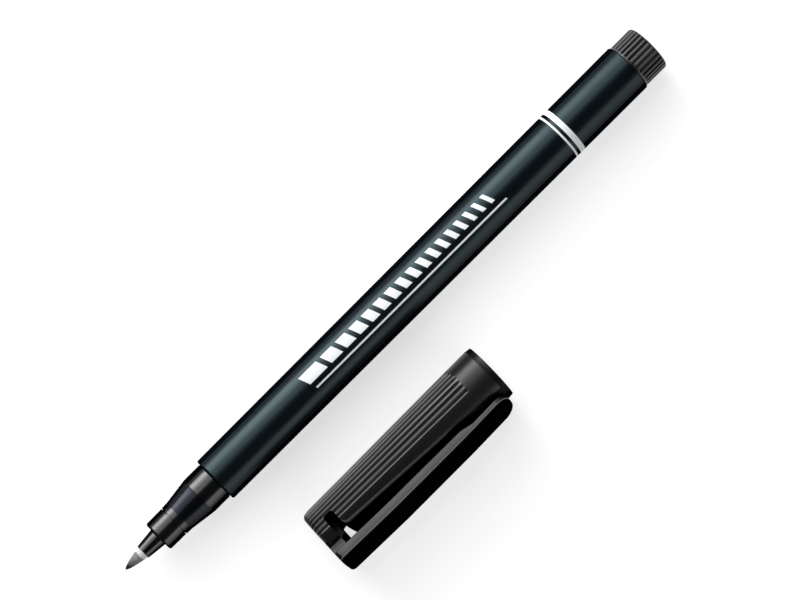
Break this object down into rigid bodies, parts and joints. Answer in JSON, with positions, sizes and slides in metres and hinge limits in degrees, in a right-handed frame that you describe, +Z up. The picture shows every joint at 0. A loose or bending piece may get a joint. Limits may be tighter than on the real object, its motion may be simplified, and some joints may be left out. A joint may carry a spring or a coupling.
{
  "type": "permanent marker",
  "caption": "Slim fine-point permanent marker with a ribbed end plug, lying beside its taken-off ribbed cap with pocket clip.",
  "frame": {"origin": "on the table that the marker and its cap lie on, under the middle of the whole", "axes": "+X along the pen from its nib towards its end plug, +Y from the cap towards the pen, +Z up"},
  "size_m": [0.122, 0.0314, 0.011],
  "materials": {
    "barrel_plastic": "satin moulded polypropylene, blue-black",
    "nose_plastic": "polished moulded polypropylene, black",
    "cap_plastic": "fine matt moulded polypropylene, black",
    "liner_plastic": "plain moulded polyethylene, black",
    "nib_fibre": "bonded polyester fibre, ink-stained at the point",
    "reservoir_fibre": "polyester fibre soaked with black ink",
    "film": "thin clear film"
  },
  "bodies": {
    "pen": {"barrel": "barrel_plastic", "nose_section": "nose_plastic", "nib_holder": "nose_plastic", "nib": "nib_fibre", "ink_reservoir": "reservoir_fibre", "reservoir_sleeve": "film", "end_plug": "cap_plastic"},
    "cap": {"cap_shell": "cap_plastic", "cap_liner": "liner_plastic"},
    "clip": {"cap_clip": "cap_plastic"}
  },
  "joints": [
    {"name": "cap_slide", "type": "slide", "parent": "pen", "child": "cap", "axis": [-1, 0, 0], "range_m": [0, 0.0206]},
    {"name": "clip_flex", "type": "hinge", "parent": "cap", "child": "clip", "pos_m": [-0.03532, -0.01246, 0.00718], "axis": [0.0073, -0.5003, -0.8658], "range_deg": [0, 4.5], "stiffness_Nm_per_rad": 1.5}
  ]
}
